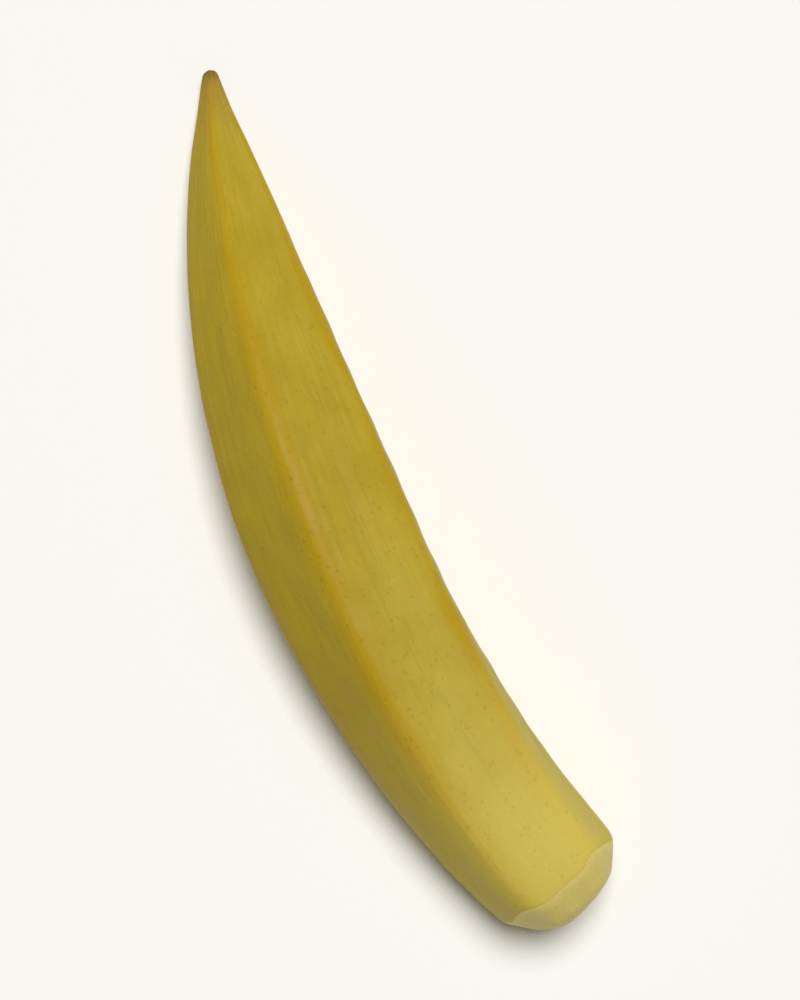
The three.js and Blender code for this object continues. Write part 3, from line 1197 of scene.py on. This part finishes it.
    def soften(self, shader, weight, depth):
        """Lets light through the first millimetres of wet flesh."""
        shader.inputs["Subsurface Weight"].default_value = weight
        shader.inputs["Subsurface Radius"].default_value = LIGHT_SPREAD
        shader.inputs["Subsurface Scale"].default_value = depth


class OKRA_OT_add_pod(bpy.types.Operator):
    """Add the pod: one closed skin with its pared stem end and cut core"""

    bl_idname = "okra.add_pod"
    bl_label = "Add Okra Pod"

    def execute(self, context):
        scene = context.scene
        form = PodForm(scene.okra_relief)
        mesh = build_pod_mesh(form)
        store_marks(mesh, form)
        materials = OkraMaterials(scene.okra_skin, scene.okra_flesh)
        for material in (materials.skin(), materials.pared_flesh(), materials.cut_core()):
            mesh.materials.append(material)
        pod = new_object("okra_pod_skin", mesh)
        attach(pod, "root")
        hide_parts("okra_pod")
        return {"FINISHED"}


def camera_axes(stage):
    """The camera's right, up and backward directions, from its turn and height."""
    turn = stage.camera_turn
    height = stage.camera_height
    back = Vector(
        (math.sin(turn) * math.cos(height), -math.cos(turn) * math.cos(height), math.sin(height))
    )
    right = Vector((math.cos(turn), math.sin(turn), 0))
    return right, back.cross(right), back


def aim(thing, backwards):
    """Turns a camera or a light so that it looks away from a direction."""
    thing.rotation_mode = "QUATERNION"
    thing.rotation_quaternion = backwards.to_track_quat("Z", "Y")


def add_camera(stage, points):
    """A camera that looks down on the pod and fits all its points into the picture."""
    right, up, back = camera_axes(stage)
    half_tall = FILM_HALF_HEIGHT / stage.lens
    half_wide = half_tall * PICTURE_ASPECT
    target = (CAD_LOW + CAD_HIGH) / 2
    distance = (CAD_HIGH - CAD_LOW).length / half_tall
    axes = np.array([right, up, back])
    for _ in range(FRAMING_ROUNDS):
        seen = (points - np.array(target)) @ axes.T
        depth = distance - seen[:, 2]
        across = seen[:, 0] / depth
        upward = seen[:, 1] / depth
        middle = ((across.max() + across.min()) / 2, (upward.max() + upward.min()) / 2)
        target = target + (right * middle[0] + up * middle[1]) * distance
        fill = max(np.ptp(across) / (2 * half_wide), np.ptp(upward) / (2 * half_tall))
        distance *= fill / (1 - 2 * stage.margin)
    data = bpy.data.cameras.new("Camera")
    data.lens = stage.lens
    data.clip_start = distance / CLIP_RATIO
    data.clip_end = distance * CLIP_RATIO
    camera = new_object("Camera", data)
    camera.location = target + back * distance
    aim(camera, back)
    bpy.context.scene.camera = camera


def add_key_light(stage):
    """One wide soft light from above, a little towards the picture's top."""
    right, up, back = camera_axes(stage)
    direction = right * KEY_TO_RIGHT + up * KEY_TO_TOP + back
    data = bpy.data.lights.new("Key light", "SUN")
    data.energy = stage.key_strength
    data.angle = stage.key_softness
    data.color = KEY_COLOUR
    aim(new_object("Key light", data), direction)


def add_floor(stage):
    """A wide pale floor."""
    half = FLOOR_HALF_WIDTH
    mesh = bpy.data.meshes.new("floor")
    corners = [(-half, -half, 0), (half, -half, 0), (half, half, 0), (-half, half, 0)]
    mesh.from_pydata(corners, [], [(0, 1, 2, 3)])
    floor = new_object("floor", mesh)
    floor.location.z = CAD_LOW.z
    material, _, shader = new_material("Pale floor")
    shader.inputs["Base Color"].default_value = (*stage.floor_colour, 1)
    shader.inputs["Roughness"].default_value = FLOOR_ROUGHNESS
    mesh.materials.append(material)


def add_sky(stage):
    """Even light from all round, with a backdrop as pale as the floor behind it."""
    world = bpy.data.worlds.new("Sky")
    world.use_nodes = True
    tree = world.node_tree
    background = tree.nodes["Background"]
    seen = add(tree, "ShaderNodeLightPath").outputs["Is Camera Ray"]
    lighting = [stage.sky_strength * channel for channel in stage.sky_colour]
    colour = blend_colours(tree, seen, lighting, stage.backdrop_colour)
    tree.links.new(colour, background.inputs["Color"])
    bpy.context.scene.world = world


class OKRA_OT_add_stage(bpy.types.Operator):
    """Add the floor, the soft light and the camera"""

    bl_idname = "okra.add_stage"
    bl_label = "Add Okra Stage"

    def execute(self, context):
        scene = context.scene
        stage = scene.okra_stage
        pod = scene.objects["okra_pod_skin"]
        points = np.zeros(len(pod.data.vertices) * 3, np.float32)
        pod.data.vertices.foreach_get("co", points)
        add_camera(stage, points.reshape(-1, 3))
        add_floor(stage)
        add_sky(stage)
        add_key_light(stage)
        scene.view_settings.view_transform = "Standard"
        return {"FINISHED"}


class OKRA_PT_sidebar(bpy.types.Panel):
    """The pod's builders and settings in the sidebar"""

    bl_idname = "OKRA_PT_sidebar"
    bl_label = "Okra Pod"
    bl_space_type = "VIEW_3D"
    bl_region_type = "UI"
    bl_category = "Okra"

    def draw(self, context):
        layout = self.layout
        for operator in OPERATORS:
            layout.operator(operator.bl_idname)
        for name, group in SETTINGS.items():
            box = layout.box()
            for field in group.__annotations__:
                box.prop(getattr(context.scene, name), field)


SETTINGS = {
    "okra_relief": OkraRelief,
    "okra_skin": OkraSkin,
    "okra_flesh": OkraFlesh,
    "okra_stage": OkraStage,
}
OPERATORS = (OKRA_OT_add_pod, OKRA_OT_add_stage)


def register():
    """Registers the settings, the operators and the panel."""
    for cls in (*SETTINGS.values(), *OPERATORS, OKRA_PT_sidebar):
        bpy.utils.register_class(cls)
    for name, group in SETTINGS.items():
        setattr(bpy.types.Scene, name, PointerProperty(type=group))


def unregister():
    """Takes the settings, the operators and the panel away again."""
    for name in SETTINGS:
        delattr(bpy.types.Scene, name)
    for cls in (OKRA_PT_sidebar, *reversed(OPERATORS), *reversed(SETTINGS.values())):
        bpy.utils.unregister_class(cls)


def main():
    """Builds the pod and its stage."""
    register()
    bpy.ops.okra.add_pod()
    bpy.ops.okra.add_stage()


if __name__ == "__main__":
    main()
